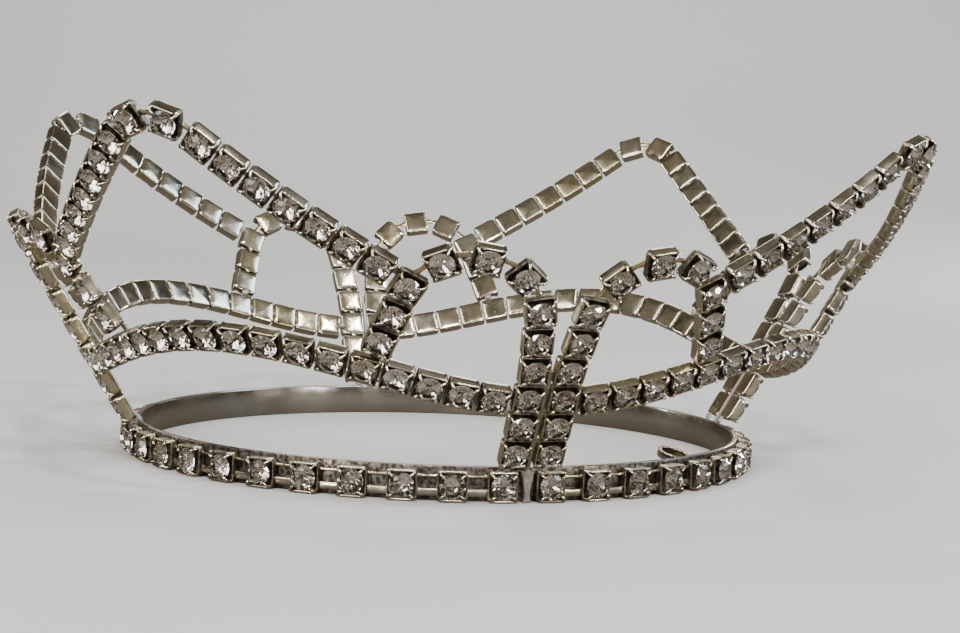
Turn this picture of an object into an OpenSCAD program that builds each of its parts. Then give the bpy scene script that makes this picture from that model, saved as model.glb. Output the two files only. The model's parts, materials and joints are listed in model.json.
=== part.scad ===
// Bridal tiara: a full round crown of rhinestone cup chain soldered onto a flat metal band.
//
// The band stands on the plane z = 0 with its axis on the Z axis, and the front motif faces -Y.
// Everything above the band lies on one flared cone. A cone unrolls without stretching, so each
// chain is laid out on its flat pattern (u sideways, v up from the band, both in millimetres)
// and then rolled back onto the cone with on_flare().

/* [Base band] */
// Inside diameter of the band, where the head goes
band_inner_diameter = 99.4; // [90:0.2:125]
// Height of the band
band_height = 5.2; // [4.9:0.1:9]
// Thickness of the band's metal
band_wall = 0.8; // [0.5:0.1:1.5]
// Break on the band's four edges
band_edge = 0.2; // [0.05:0.05:0.24]

/* [Cup chain] */
// Outside width of one square stone cup
cup_width = 4.5; // [3.6:0.1:5.4]
// Depth of a cup's two long walls
cup_depth = 1.9; // [1.7:0.1:3.2]
// Thinnest metal of a cup's walls, beside the stone
cup_wall = 0.3; // [0.2:0.05:0.5]
// Thickness of a cup's closed back
cup_floor = 0.3; // [0.2:0.05:0.6]
// Height of the lower walls at the two ends of a cup, where the links are
cup_end_wall = 1.2; // [1.1:0.05:1.6]
// Smallest gap between neighbouring cups of the mid ring
ring_gap = 0.07; // [0.05:0.01:0.3]
// Smallest gap between neighbouring cups of the loops and peaks
loop_gap = 0.2; // [0.1:0.01:0.5]
// Diameter of the four prongs that hold a stone
prong_diameter = 0.8; // [0.6:0.05:0.9]
// How far the prongs stand above the cup's walls
prong_rise = 0.75; // [0.4:0.05:1.1]

/* [Stone] */
// Gap between a stone's girdle and the cup
stone_play = 0.02; // [0.01:0.01:0.1]
// Height of a stone's crown above the cup's walls
stone_crown = 0.7; // [0.4:0.05:1.0]
// Height of a stone's girdle
stone_girdle = 0.15; // [0.1:0.05:0.3]
// Width of the table as a share of the stone's width
stone_table = 0.58; // [0.5:0.01:0.7]

/* [Base chain] */
// Stones in the spaced chain round the band, a quarter of them to each quarter
base_stones = 44; // [36:4:52]
// Height of the base cups' lower walls above the plane that the band stands on
base_cup_lift = 0.1; // [0.05:0.05:0.3]
// Height of the upper link bar between base cups
upper_link_height = 0.6; // [0.4:0.1:1]
// Height of the lower link bar between base cups
lower_link_height = 1.2; // [0.6:0.1:1.4]

/* [Flare] */
// How far the crown leans outward from upright, in degrees
flare_angle = 31; // [20:1:36]

/* [Motifs] */
// Width of the solder seam between the two strands of a motif
seam_width = 0.6; // [0.4:0.1:1.2]
// Height on the pattern where the two strands part
split_height = 18; // [16:0.5:20]
// Radius of a loop, along the middle of its chain
loop_radius = 9.6; // [8.6:0.1:10.4]
// Distance sideways from the motif's axis to the middle of a loop
loop_reach = 13.1; // [12.4:0.1:14]
// Height of a loop's top on the pattern
loop_top = 36.2; // [32:0.2:40]
// Distance sideways from the motif's axis to a loop's foot on the mid ring
loop_foot = 25.6; // [23:0.2:27]

/* [Mid ring] */
// Height of the mid ring on the pattern where it meets a motif
mid_low = 12.6; // [11:0.2:15]
// Height of the mid ring on the pattern halfway between motifs
mid_high = 21.4; // [18:0.2:23]

/* [Peaks] */
// Height on the pattern where the two legs of a peak would cross
peak_height = 60.6; // [52:0.2:76]
// Radius of a peak's rounded tip, along the middle of its chain
peak_tip_radius = 8.2; // [7:0.1:10]
// Direction from a loop's middle to the foot of a peak, in degrees above level
peak_foot_direction = 24; // [15:1:32]

/* [Joints] */
// Gap that is left for solder where one chain ends against another
joint_gap = 0.25; // [0.15:0.05:0.5]
// Diameter of a solder bead over such a joint
bead_diameter = 1.5; // [1:0.1:2]
// Width of a link bar in the close chains
link_width = 1.0; // [0.6:0.1:1.4]
// Thickness of a link bar
link_thickness = 0.5; // [0.3:0.05:0.55]
// How far a link bar or a bead is let into the metal it is soldered to
solder_bite = 0.06; // [0.03:0.01:0.12]

/* [Hairpin rings] */
// Radius of the hole in a hairpin ring
hairpin_hole_radius = 1.9; // [1.2:0.1:2.4]
// Thickness of a hairpin ring's metal
hairpin_wall = 0.5; // [0.3:0.1:0.9]
// Width of the strip that a hairpin ring is rolled from
hairpin_height = 1.2; // [0.8:0.1:2]
// Angle of the two hairpin rings from the front and from the back, in degrees
hairpin_angle = 35.5; // [20:0.5:60]
// Upward tilt of a hairpin ring toward the crown's axis, in degrees
hairpin_tilt = 15; // [0:1:20]

/* [Hidden] */
$fn = 72;
slack = 1; // overshoot of a cutting shape past what it cuts
corner_room = 0.9; // share of its half width that a square cup loses to its neighbour on a bend

band_outer_radius = band_inner_diameter / 2 + band_wall;
half_cup = cup_width / 2;
stone_radius = half_cup - cup_wall - stone_play;
base_pitch = 360 / base_stones;
base_cup_middle = base_cup_lift + half_cup;

// The cone: the chains' backs spring from the band's outer top edge.
sin_flare = sin(flare_angle);
cos_flare = cos(flare_angle);
apex_distance = band_outer_radius / sin_flare;

// Base cups are as high as they are wide, so the lowest strand cup starts above them.
strand_start = (base_cup_lift + cup_width - band_height + cup_depth * sin_flare) / cos_flare + 2 * joint_gap;
strand_offset = half_cup + seam_width / 2;

quarters = ["front", "right", "back", "left"];
corners = ["front_right", "back_right", "back_left", "front_left"];
sides = ["left", "right"];

silver = [0.78, 0.76, 0.72];
solder_grey = [0.62, 0.62, 0.60];
crystal = [0.86, 0.92, 0.96];

// ---- Flat pattern and cone -------------------------------------------------------------------

// Direction from a to b in degrees clockwise from straight up.
function heading(a, b) = atan2(b.x - a.x, b.y - a.y);
function step(direction, length) = length * [sin(direction), cos(direction)];
function unwrap(angle) = angle > 180 ? angle - 360 : angle < -180 ? angle + 360 : angle;

// Bend of a polyline at its vertex i, in degrees.
function bend(p, i) =
    i <= 0 || i >= len(p) - 1 ? 0 : abs(unwrap(heading(p[i], p[i + 1]) - heading(p[i - 1], p[i])));

// Length of segment i as the cups feel it: square cups meet at their inner corners, so a bend
// takes room away from a chain.
function cup_length(p, i) =
    norm(p[i + 1] - p[i]) - corner_room * half_cup * (bend(p, i) + bend(p, i + 1)) / 2 * PI / 180;

// Running length at each vertex, as [length, vertex number].
function length_table(p) =
    [for (i = 0, s = 0; i < len(p); s = s + (i < len(p) - 1 ? cup_length(p, i) : 0), i = i + 1) [s, i]];
function table_end(table) = table[len(table) - 1][0];

function point_at(p, place) =
    let (i = min(floor(place), len(p) - 2), part = place - i) p[i] * (1 - part) + p[i + 1] * part;

// As many cups as fit along the polyline with at least the given gap, evenly spaced:
// [point, direction] for each.
function cup_stations(p, gap) =
    let (
        table = length_table(p),
        room = table_end(table),
        count = floor(room / (cup_width + gap)),
        reach = half_cup / 2
    )
    [for (k = [0 : count - 1])
        let (
            s = room * (k + 0.5) / count,
            behind = point_at(p, lookup(s - reach, table)),
            ahead = point_at(p, lookup(s + reach, table))
        )
        [point_at(p, lookup(s, table)), heading(behind, ahead)]];

// The gaps between neighbouring cups: [point, direction, width of the gap].
function gap_stations(cups) =
    [for (k = [1 : len(cups) - 1])
        let (
            from = cups[k - 1][0] + step(cups[k - 1][1], half_cup),
            to = cups[k][0] - step(cups[k][1], half_cup)
        )
        [(from + to) / 2, cups[k - 1][1] + unwrap(cups[k][1] - cups[k - 1][1]) / 2, norm(to - from)]];

function mirrored(stations) =
    [for (s = stations) [[-s[0].x, s[0].y], -s[1], s[2]]];

// A place given by its angle round the crown and its slant height, as a point on the pattern
// whose own axis is straight up.
function pattern_point(angle, slant) =
    let (r = apex_distance + slant, f = angle * sin_flare) [r * sin(f), r * cos(f) - apex_distance];
function pattern_angle(p) = atan2(p.x, apex_distance + p.y) / sin_flare;
function pattern_slant(p) = norm([p.x, apex_distance + p.y]) - apex_distance;
// The same place on the cone, carried round the crown's axis by an angle.
function turned(p, angle) = pattern_point(pattern_angle(p) + angle, pattern_slant(p));

// Rolls a station of the pattern onto the cone. The child lies on the cone's surface, with its
// own Y along the chain and its own Z pointing out of the crown.
module on_flare(station, axis_angle) {
    angle = pattern_angle(station[0]);
    slant = pattern_slant(station[0]);
    rotate([0, 0, axis_angle + angle])
        translate([0, -(band_outer_radius + slant * sin_flare), band_height + slant * cos_flare])
            rotate([90 + flare_angle, 0, 0])
                rotate([0, 0, angle * sin_flare - station[1]])
                    children();
}

// ---- Routes of the chains on the pattern -----------------------------------------------------

// The mid ring is a wave, low at the motifs and high halfway between them.
function mid_slant(angle) = mid_low + (mid_high - mid_low) * (1 - cos(4 * angle)) / 2;
function mid_point(angle) = pattern_point(angle, mid_slant(angle));
function mid_heading(angle) = heading(mid_point(angle - 0.5), mid_point(angle + 0.5));

ring_start_angle =
    (strand_offset + half_cup + joint_gap) / (band_outer_radius + mid_low * sin_flare) * 180 / PI;
// Laid out about the peak's axis, so that it runs evenly to both sides.
mid_route = [for (a = [-45 + ring_start_angle : (90 - 2 * ring_start_angle) / 60 : 45 - ring_start_angle + 0.01])
    pattern_point(a, mid_slant(a + 45))];

// A loop: straight up beside the seam, over the top, and down to the mid ring.
loop_middle = [loop_reach, loop_top - loop_radius];
split_point = [strand_offset, split_height];
foot_angle = loop_foot / (band_outer_radius + (mid_low + mid_high) / 2 * sin_flare) * 180 / PI;
foot_point = mid_point(foot_angle);
rise_heading = heading(split_point, loop_middle) - asin(loop_radius / norm(loop_middle - split_point));
fall_heading = heading(loop_middle, foot_point) + asin(loop_radius / norm(foot_point - loop_middle));
// The outer leg stops clear of the mid ring's cups, however squarely it meets them.
foot_skew = abs(fall_heading - mid_heading(foot_angle) - 90);
foot_clearance = (half_cup * (1 + sin(foot_skew)) + joint_gap) / cos(foot_skew);
arc_steps = 36;
loop_route = concat(
    [[strand_offset, strand_start], split_point],
    [for (i = [0 : arc_steps])
        let (h = rise_heading + (fall_heading - rise_heading) * i / arc_steps)
        loop_middle + loop_radius * [-cos(h), sin(h)]],
    [foot_point - step(fall_heading, foot_clearance)]
);

// A peak: from the shoulder of one motif's loop, round the tip, to the next motif's loop.
corner_reach = norm([loop_radius + half_cup, half_cup]);
function from_loop(reach) =
    loop_middle + reach * [cos(peak_foot_direction), sin(peak_foot_direction)];
peak_start_guess = from_loop(corner_reach + half_cup);
function about_peak(p) = turned(p, -45);
peak_heading = heading(about_peak(peak_start_guess), [0, peak_height]);
// The leg's end face is square to the leg, so its nearer corner sets where it can start.
peak_skew = abs(90 - peak_foot_direction - peak_heading - 45 * sin_flare);
peak_start_reach = corner_reach + half_cup * sin(peak_skew) + joint_gap;
peak_start = about_peak(from_loop(peak_start_reach));
peak_lean = heading(peak_start, [0, peak_height]);
tip_middle = [0, peak_height - peak_tip_radius / sin(peak_lean)];
peak_route = concat(
    [peak_start],
    [for (i = [0 : arc_steps])
        let (h = peak_lean + (180 - 2 * peak_lean) * i / arc_steps)
        tip_middle + peak_tip_radius * [-cos(h), sin(h)]],
    [[-peak_start.x, peak_start.y]]
);

loop_cups = cup_stations(loop_route, loop_gap);
mid_cups = cup_stations(mid_route, ring_gap);
peak_cups = cup_stations(peak_route, loop_gap);

// ---- Pieces that repeat ----------------------------------------------------------------------

// One stone cup, standing on its back at z = 0, with its low end walls facing +Y and -Y.
module cup() {
    post = half_cup - prong_diameter / 2;
    difference() {
        translate([-half_cup, -half_cup, 0]) cube([cup_width, cup_width, cup_depth]);
        translate([0, 0, cup_floor]) cylinder(r = stone_radius + stone_play, h = cup_depth);
        translate([-(post - prong_diameter / 2), -half_cup - slack, cup_end_wall])
            cube([2 * post - prong_diameter, cup_width + 2 * slack, cup_depth]);
    }
    for (x = [-post, post], y = [-post, post])
        translate([x, y, cup_depth - prong_diameter / 2])
            cylinder(d = prong_diameter, h = prong_diameter / 2 + prong_rise, $fn = 32);
}

// One round faceted stone, seated on the floor of its cup.
module stone() {
    culet = 0.35;
    girdle_bottom = cup_depth - stone_girdle;
    rotate_extrude()
        polygon([
            [0, cup_floor], [culet, cup_floor], [stone_radius, girdle_bottom],
            [stone_radius, cup_depth], [stone_radius * stone_table, cup_depth + stone_crown],
            [0, cup_depth + stone_crown]
        ]);
}

// One bar that joins two neighbouring cups across a gap of the given width.
module link(gap) {
    length = gap + 2 * solder_bite;
    translate([-link_width / 2, -length / 2, cup_end_wall - 2 * link_thickness])
        cube([link_width, length, link_thickness]);
}

module cups_along(stations, axis_angle) {
    color(silver) for (s = stations) on_flare(s, axis_angle) cup();
}
module stones_along(stations, axis_angle) {
    color(crystal) for (s = stations) on_flare(s, axis_angle) stone();
}
module links_along(stations, axis_angle) {
    color(silver) for (s = gap_stations(stations)) on_flare(s, axis_angle) link(s[2]);
}

// Stands the child on the band's outer face, with its own Z pointing outward.
module on_band(angle) {
    rotate([0, 0, angle]) translate([0, -band_outer_radius, base_cup_middle])
        rotate([90, 0, 0]) children();
}

// ---- Sub-parts -------------------------------------------------------------------------------

module base_band() {
    inner = band_inner_diameter / 2;
    outer = band_outer_radius;
    color(silver)
        rotate_extrude($fn = 180)
            polygon([
                [inner + band_edge, 0], [outer - band_edge, 0], [outer, band_edge],
                [outer, band_height - band_edge], [outer - band_edge, band_height],
                [inner + band_edge, band_height], [inner, band_height - band_edge], [inner, band_edge]
            ]);
}

module base_chain_cups() {
    color(silver) for (k = [0 : base_stones - 1])
        on_band((k + 0.5) * base_pitch) rotate([0, 0, 90]) cup();
}

module base_chain_stones() {
    color(crystal) for (k = [0 : base_stones - 1]) on_band((k + 0.5) * base_pitch) stone();
}

// Two bars bridge each gap of the base chain, except where a motif's foot fills it.
module base_chain_links() {
    quarter = base_stones / 4;
    half_pitch = base_pitch / 2;
    depth = cup_end_wall - 2 * link_thickness;
    radius = band_outer_radius + depth + link_thickness / 2;
    // Half the gap between two cups' end walls, at the depth of the bars.
    half_gap = radius * sin(half_pitch) - half_cup * cos(half_pitch);
    length = 2 * (half_gap + solder_bite);
    color(silver) for (k = [0 : base_stones - 1]) if (k % quarter != 0)
        on_band(k * base_pitch) translate([-length / 2, 0, depth]) {
            translate([0, half_cup - 2 * upper_link_height, 0])
                cube([length, upper_link_height, link_thickness]);
            translate([0, -half_cup + upper_link_height, 0])
                cube([length, lower_link_height, link_thickness]);
        }
}

// The seam bar between a motif's strands, with the foot that stands it on the band.
module motif_spine(q) {
    foot_depth = cup_end_wall;
    // The foot fills the gap between the two base cups beside the motif's axis.
    foot_width = 2 * (band_outer_radius * sin(base_pitch / 2) - half_cup) - 2 * joint_gap;
    foot_top = base_cup_lift + cup_width;
    seam_depth = cup_depth - prong_diameter;
    color(solder_grey) rotate([0, 0, q * 90]) union() {
        difference() {
            translate([-foot_width / 2, -band_outer_radius - foot_depth, base_cup_lift])
                cube([foot_width, foot_depth + band_wall, foot_top - base_cup_lift]);
            translate([0, 0, -slack]) cylinder(r = band_outer_radius, h = foot_top + 2 * slack, $fn = 180);
        }
        difference() {
            on_flare([[0, 0], 0], 0)
                translate([-seam_width / 2, -band_height, 0])
                    cube([seam_width, split_height + band_height, seam_depth]);
            translate([0, 0, -slack]) cylinder(r = band_outer_radius, h = band_height + slack, $fn = 180);
            translate([0, 0, -band_height * 2 + base_cup_lift])
                cylinder(r = band_outer_radius + cup_depth + slack, h = band_height * 2);
        }
        // The small bar across the split, between the two strands.
        split_half = strand_offset - half_cup + solder_bite;
        on_flare([[0, split_height], 0], 0)
            translate([-split_half, -link_thickness / 2, seam_depth - link_thickness])
                cube([2 * split_half, link_thickness, link_thickness]);
    }
}

module motif_loop_links() {
    for (q = [0 : 3]) {
        links_along(loop_cups, q * 90);
        links_along(mirrored(loop_cups), q * 90);
    }
}

module mid_ring_links() {
    for (q = [0 : 3]) links_along(mid_cups, q * 90 + 45);
}

module peak_links() {
    for (q = [0 : 3]) links_along(peak_cups, q * 90 + 45);
}

// Middle of a cup's face at one end of its chain: way is -1 for the start and 1 for the end.
function end_face(station, way) = station[0] + step(station[1], way * half_cup);

// The point of a cup's square that lies nearest to p.
function nearest_edge(station, p) =
    let (
        along = step(station[1], 1),
        across = step(station[1] + 90, 1),
        a = (p - station[0]) * along,
        b = (p - station[0]) * across
    )
    station[0] + max(-half_cup, min(half_cup, a)) * along + max(-half_cup, min(half_cup, b)) * across;

// A joint from the end of one chain to the nearest cup of another: [middle, gap].
function joint(face, cups) =
    let (
        edges = [for (c = cups) nearest_edge(c, face)],
        gaps = [for (e = edges) norm(e - face)],
        near = [for (i = [0 : len(cups) - 1]) if (gaps[i] == min(gaps)) i][0]
    )
    [(face + edges[near]) / 2, gaps[near]];

// A flat bead across a joint, on the back of the chains, wide enough to reach both sides.
module bead(gap) {
    width = max(bead_diameter, gap + bead_diameter / 2);
    translate([0, 0, -link_thickness])
        cylinder(d1 = width / 2, d2 = width, h = link_thickness + solder_bite);
}

// Beads where chains meet: strands on the band, mid ring on the strands, loops on the mid ring,
// and peaks on the loops. Each is [joint, angle from the motif's axis to its pattern's axis].
module solder_beads() {
    joints = [
        [[[strand_offset, strand_start / 2], strand_start], 0],
        [joint(turned(end_face(mid_cups[0], -1), 45), loop_cups), 0],
        [joint(turned(end_face(loop_cups[len(loop_cups) - 1], 1), -45), mid_cups), 45],
        [joint(turned(end_face(peak_cups[0], -1), 45), loop_cups), 0]
    ];
    color(solder_grey) for (q = [0 : 3], m = [-1, 1], j = joints)
        on_flare([[m * j[0][0].x, j[0][0].y], 0], q * 90 + m * j[1]) bead(j[0][1]);
}

// A small ring of flat strip inside the band, for a hairpin. It tilts up toward the crown's axis,
// and is cut away where the band's wall is.
module hairpin_ring(angle) {
    seat = band_inner_diameter / 2;
    outer = hairpin_hole_radius + hairpin_wall;
    color(silver) rotate([0, 0, angle]) difference() {
        translate([0, -seat, band_height - band_edge - hairpin_height / 2])
            rotate([hairpin_tilt, 0, 0])
                translate([0, outer - solder_bite, -hairpin_height / 2])
                    difference() {
                        cylinder(r = outer, h = hairpin_height);
                        translate([0, 0, -slack])
                            cylinder(r = hairpin_hole_radius, h = hairpin_height + 2 * slack);
                    }
        difference() {
            cylinder(r = seat + band_wall + slack, h = band_height + slack, $fn = 180);
            translate([0, 0, -slack])
                cylinder(r = seat + solder_bite, h = band_height + 3 * slack, $fn = 180);
        }
    }
}
module hairpin_ring_front() { hairpin_ring(hairpin_angle); }
module hairpin_ring_back() { hairpin_ring(180 - hairpin_angle); }

// ---- Nodes -----------------------------------------------------------------------------------

base_band();
base_chain_cups();
base_chain_links();
base_chain_stones();
for (q = [0 : 3]) {
    loop_left = str(quarters[q], "_motif_left_loop");
    loop_right = str(quarters[q], "_motif_right_loop");
    motif_spine(q);
    cups_along(mirrored(loop_cups), q * 90);
    cups_along(loop_cups, q * 90);
    stones_along(mirrored(loop_cups), q * 90);
    stones_along(loop_cups, q * 90);
}
motif_loop_links();
for (q = [0 : 3]) {
    middle = q * 90 + 45;
    cups_along(mid_cups, middle);
    stones_along(mid_cups, middle);
    cups_along(peak_cups, middle);
    stones_along(peak_cups, middle);
}
mid_ring_links();
peak_links();
solder_beads();
hairpin_ring_front();
hairpin_ring_back();
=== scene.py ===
# %% [markdown]
# # A rhinestone crown, from its measured parts to its finish
#
# The crown is bought-in cup chain, soldered to a flat band. Each link of cup chain is a stamped
# metal cup with four prongs and a round faceted stone. The sizes and places of all of them come
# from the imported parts, so this lesson starts by loading those and keeping the box they fill.

# %% Load the parts
import json
import math

import bpy
import numpy as np
from mathutils import Matrix, Vector


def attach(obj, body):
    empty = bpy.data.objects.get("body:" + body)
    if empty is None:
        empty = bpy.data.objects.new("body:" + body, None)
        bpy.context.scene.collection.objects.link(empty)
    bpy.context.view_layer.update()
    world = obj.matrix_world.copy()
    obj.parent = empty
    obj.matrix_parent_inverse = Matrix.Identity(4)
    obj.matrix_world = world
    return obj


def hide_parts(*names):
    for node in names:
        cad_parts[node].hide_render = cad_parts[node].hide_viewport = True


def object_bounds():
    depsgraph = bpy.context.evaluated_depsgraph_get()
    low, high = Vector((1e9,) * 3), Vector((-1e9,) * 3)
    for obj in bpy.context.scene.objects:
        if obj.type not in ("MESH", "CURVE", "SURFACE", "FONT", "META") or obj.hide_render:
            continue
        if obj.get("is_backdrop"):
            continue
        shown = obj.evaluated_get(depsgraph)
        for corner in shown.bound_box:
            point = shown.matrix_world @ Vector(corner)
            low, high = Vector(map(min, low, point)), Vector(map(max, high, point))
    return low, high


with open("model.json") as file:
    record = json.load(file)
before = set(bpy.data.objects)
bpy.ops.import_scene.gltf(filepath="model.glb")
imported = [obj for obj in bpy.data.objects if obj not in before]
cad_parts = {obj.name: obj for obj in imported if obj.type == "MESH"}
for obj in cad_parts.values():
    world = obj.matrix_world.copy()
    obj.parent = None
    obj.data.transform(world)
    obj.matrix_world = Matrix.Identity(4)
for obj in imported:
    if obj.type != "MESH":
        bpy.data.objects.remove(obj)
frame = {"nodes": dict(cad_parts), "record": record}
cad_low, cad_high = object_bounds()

MM = 0.001
print("parts loaded:", len(frame["nodes"]), "box", [round(v, 4) for v in cad_low + (cad_high - cad_low)])

# %% [markdown]
# ## The camera
#
# A long lens from a little above the band keeps the crown's ovals flat, as a person sees a crown
# on a shelf. It stands to the left of the front motif, which therefore turns slightly away.

# %% Camera
CAMERA_PLACE = (-0.08732, -0.32566, 0.04895)
CAMERA_TURN = (85.614, -2.226, -15.940)
CAMERA_LENS = 74.89

camera_data = bpy.data.cameras.new("camera")
camera_data.lens = CAMERA_LENS
camera_data.sensor_width = 36.0
camera_data.clip_start = 0.01
camera = bpy.data.objects.new("camera", camera_data)
camera.location = CAMERA_PLACE
camera.rotation_euler = [math.radians(a) for a in CAMERA_TURN]
bpy.context.scene.collection.objects.link(camera)
bpy.context.scene.camera = camera
print("camera lens", CAMERA_LENS, "mm")

# %% [markdown]
# ## Taking a part to pieces
#
# A part such as one arm of the chain holds many separate solids. Triangles that share a corner
# belong to the same solid, so spreading the lowest corner number through the triangles sorts
# them. Working from the solids, and not from a list of places, keeps every detailed piece where
# the measured one is, even when a size is changed later.

# %% Separate solids of a part
def solids_of(node):
    """Each separate solid of a part, as an array of its triangles' corners, in metres."""
    mesh = frame["nodes"][node].data
    points = np.empty(len(mesh.vertices) * 3)
    mesh.vertices.foreach_get("co", points)
    mesh.calc_loop_triangles()
    corners = np.empty(len(mesh.loop_triangles) * 3, dtype=np.int32)
    mesh.loop_triangles.foreach_get("vertices", corners)
    places, welded = np.unique(np.round(points.reshape(-1, 3), 7), axis=0, return_inverse=True)
    triangles = welded.reshape(-1)[corners].reshape(-1, 3)
    label = np.arange(len(places))
    while True:
        before = label.copy()
        np.minimum.at(label, triangles.reshape(-1), np.repeat(label[triangles].min(axis=1), 3))
        label = label[label]
        if (label == before).all():
            break
    owner = label[triangles[:, 0]]
    return [places[triangles[owner == one]] for one in np.unique(owner)]


def triangle_sizes(solid):
    return np.linalg.norm(np.cross(solid[:, 1] - solid[:, 0], solid[:, 2] - solid[:, 0]), axis=1)


print("solids in the base chain:", len(solids_of("base_chain_cups")))

# %% [markdown]
# ## Where each cup stands
#
# A cup's largest flat face is its square back, and half of it is the cup's largest triangle. The
# middle of that triangle's long side is the middle of the back, and its short sides run along
# the cup's sides. The low end walls tell which way the chain runs: a cup's own Y axis goes along
# the chain, X goes across it, and Z points out of the crown, through the stone.

# %% Place and direction of a cup
def levels_of(heights, apart):
    """The distinct heights in a list, in rising order: the next one is more than apart above."""
    ordered = np.sort(heights)
    return ordered[np.concatenate([[True], np.diff(ordered) > apart])]


def cup_place(solid):
    """A 4x4 matrix that carries a cup drawn at the origin to the place of this one."""
    largest = solid[np.argmax(triangle_sizes(solid))]
    sides = [largest[(i + 1) % 3] - largest[i] for i in range(3)]
    long_side = int(np.argmax([np.linalg.norm(s) for s in sides]))
    middle = (largest[long_side] + largest[(long_side + 1) % 3]) / 2
    outward = -np.cross(sides[0], sides[1])
    outward /= np.linalg.norm(outward)
    across = sides[(long_side + 1) % 3]
    across = across / np.linalg.norm(across)
    along = np.cross(outward, across)
    local = (solid.reshape(-1, 3) - middle) @ np.array([across, along, outward]).T
    end_wall = np.abs(local[:, 2] - levels_of(local[:, 2], 0.05 * MM)[2]) < 0.02 * MM
    if np.abs(local[end_wall, 0]).max() > np.abs(local[end_wall, 1]).max():
        across, along = along, -across
    place = np.eye(4)
    place[:3, 0], place[:3, 1], place[:3, 2], place[:3, 3] = across, along, outward, middle
    return place


first_cup = solids_of("base_chain_cups")[0]
first_place = cup_place(first_cup)
print("first cup stands at", np.round(first_place[:3, 3] * 1000, 2), "mm")

# %% [markdown]
# ## The sizes of a cup and a stone
#
# The same look at one solid gives its sizes: seen in its own axes, a cup has a back, a floor, two
# low end walls, two high side walls and four prongs, each at its own height.

# %% Measure a cup and its stone
def in_own_axes(solid, place):
    """A solid's corners in the axes of a place, in millimetres."""
    return (solid.reshape(-1, 3) - place[:3, 3]) @ place[:3, :3] / MM


cup_points = in_own_axes(first_cup, first_place)
cup_levels = levels_of(cup_points[:, 2], 0.05)
HALF = float(cup_points[:, 0].max())
FLOOR, END_WALL, SIDE_WALL, PRONG_TOP = (float(level) for level in cup_levels[-4:])

middles = [s.reshape(-1, 3).mean(axis=0) for s in solids_of("base_chain_stones")]
nearest = int(np.argmin([np.linalg.norm(m - first_place[:3, 3]) for m in middles]))
stone_points = in_own_axes(solids_of("base_chain_stones")[nearest], first_place)
stone_levels = levels_of(stone_points[:, 2], 0.05)
stone_reach = np.hypot(stone_points[:, 0], stone_points[:, 1])
STONE_RADIUS = float(stone_reach.max())
girdle = stone_points[stone_reach > STONE_RADIUS - 0.01, 2]
CULET, GIRDLE_LOW, GIRDLE_HIGH, TABLE = (
    float(level) for level in (stone_levels[0], girdle.min(), girdle.max(), stone_levels[-1])
)
TABLE_RADIUS = float(stone_reach[stone_points[:, 2] > TABLE - 0.02].max())
print("cup", HALF * 2, "mm wide: floor, walls, prongs at", FLOOR, END_WALL, SIDE_WALL, PRONG_TOP)
print("a stone is", STONE_RADIUS, "mm in radius, its table", TABLE_RADIUS)
print("heights of culet, girdle and table:", CULET, GIRDLE_LOW, GIRDLE_HIGH, TABLE)

# %% [markdown]
# ## Patterns and stamping
#
# Nearly three hundred cups are alike, so each kind of piece is drawn once, as a pattern at the
# origin, and stamped to every place. A pattern keeps its points in millimetres, its faces, the
# material of each face, and a value from 0 to 1 that says how dark a point is painted: partly
# tarnish in its corners, partly painted shade where shade falls between parts and on bright edges.

# %% Pattern of a piece
class Pattern:
    def __init__(self):
        self.points, self.faces, self.materials, self.tarnish_and_shade_values = [], [], [], []

    def add(self, points, faces, material=0, nook=0.0):
        """Adds points with their faces and their darkening, for tarnish and painted shade: one value, or
        one for each point.
        """
        start = len(self.points)
        self.points.extend(tuple(float(c) for c in p) for p in points)
        self.faces.extend(tuple(start + i for i in face) for face in faces)
        self.materials.extend([material] * len(faces))
        self.tarnish_and_shade_values.extend([nook] * len(points) if isinstance(nook, (int, float)) else nook)


def ring_faces(rings, count, closed_start=False, closed_end=False):
    """Faces of a skin over rings of points that follow one another, outward for rising rings."""
    faces = [
        (
            r * count + i, r * count + (i + 1) % count,
            (r + 1) * count + (i + 1) % count, (r + 1) * count + i,
        )
        for r in range(rings - 1)
        for i in range(count)
    ]
    if closed_start:
        faces.append(tuple(reversed(range(count))))
    if closed_end:
        faces.append(tuple((rings - 1) * count + i for i in range(count)))
    return faces

# %% [markdown]
# A pattern is stamped at every place of a piece at once: its points are carried over by the
# places' matrices and put together into one mesh. Each stamp also keeps a random tone, drawn in
# the places' order, so that no two cups have quite the same plating.


# %% Stamp a pattern into one mesh
def stamp(name, prints, materials, smooth_below=None):
    """One mesh object from (pattern, places) pairs. Each print gets its own random tone."""
    points, loops, sizes, slots, tarnish_and_shade_values, tones = [], [], [], [], [], []
    start = 0
    draw = np.random.default_rng(sum(map(ord, name)))
    for pattern, places in prints:
        base = np.array(pattern.points) * MM
        face_sizes = np.array([len(f) for f in pattern.faces])
        corners = np.concatenate([np.array(f) for f in pattern.faces])
        for place in places:
            points.append(base @ place[:3, :3].T + place[:3, 3])
            loops.append(corners + start)
            sizes.append(face_sizes)
            slots.append(np.array(pattern.materials))
            tarnish_and_shade_values.append(np.array(pattern.tarnish_and_shade_values))
            tones.append(np.full(len(base), draw.random()))
            start += len(base)
    return mesh_from(name, points, loops, sizes, slots, tarnish_and_shade_values, tones, materials, smooth_below)


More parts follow.
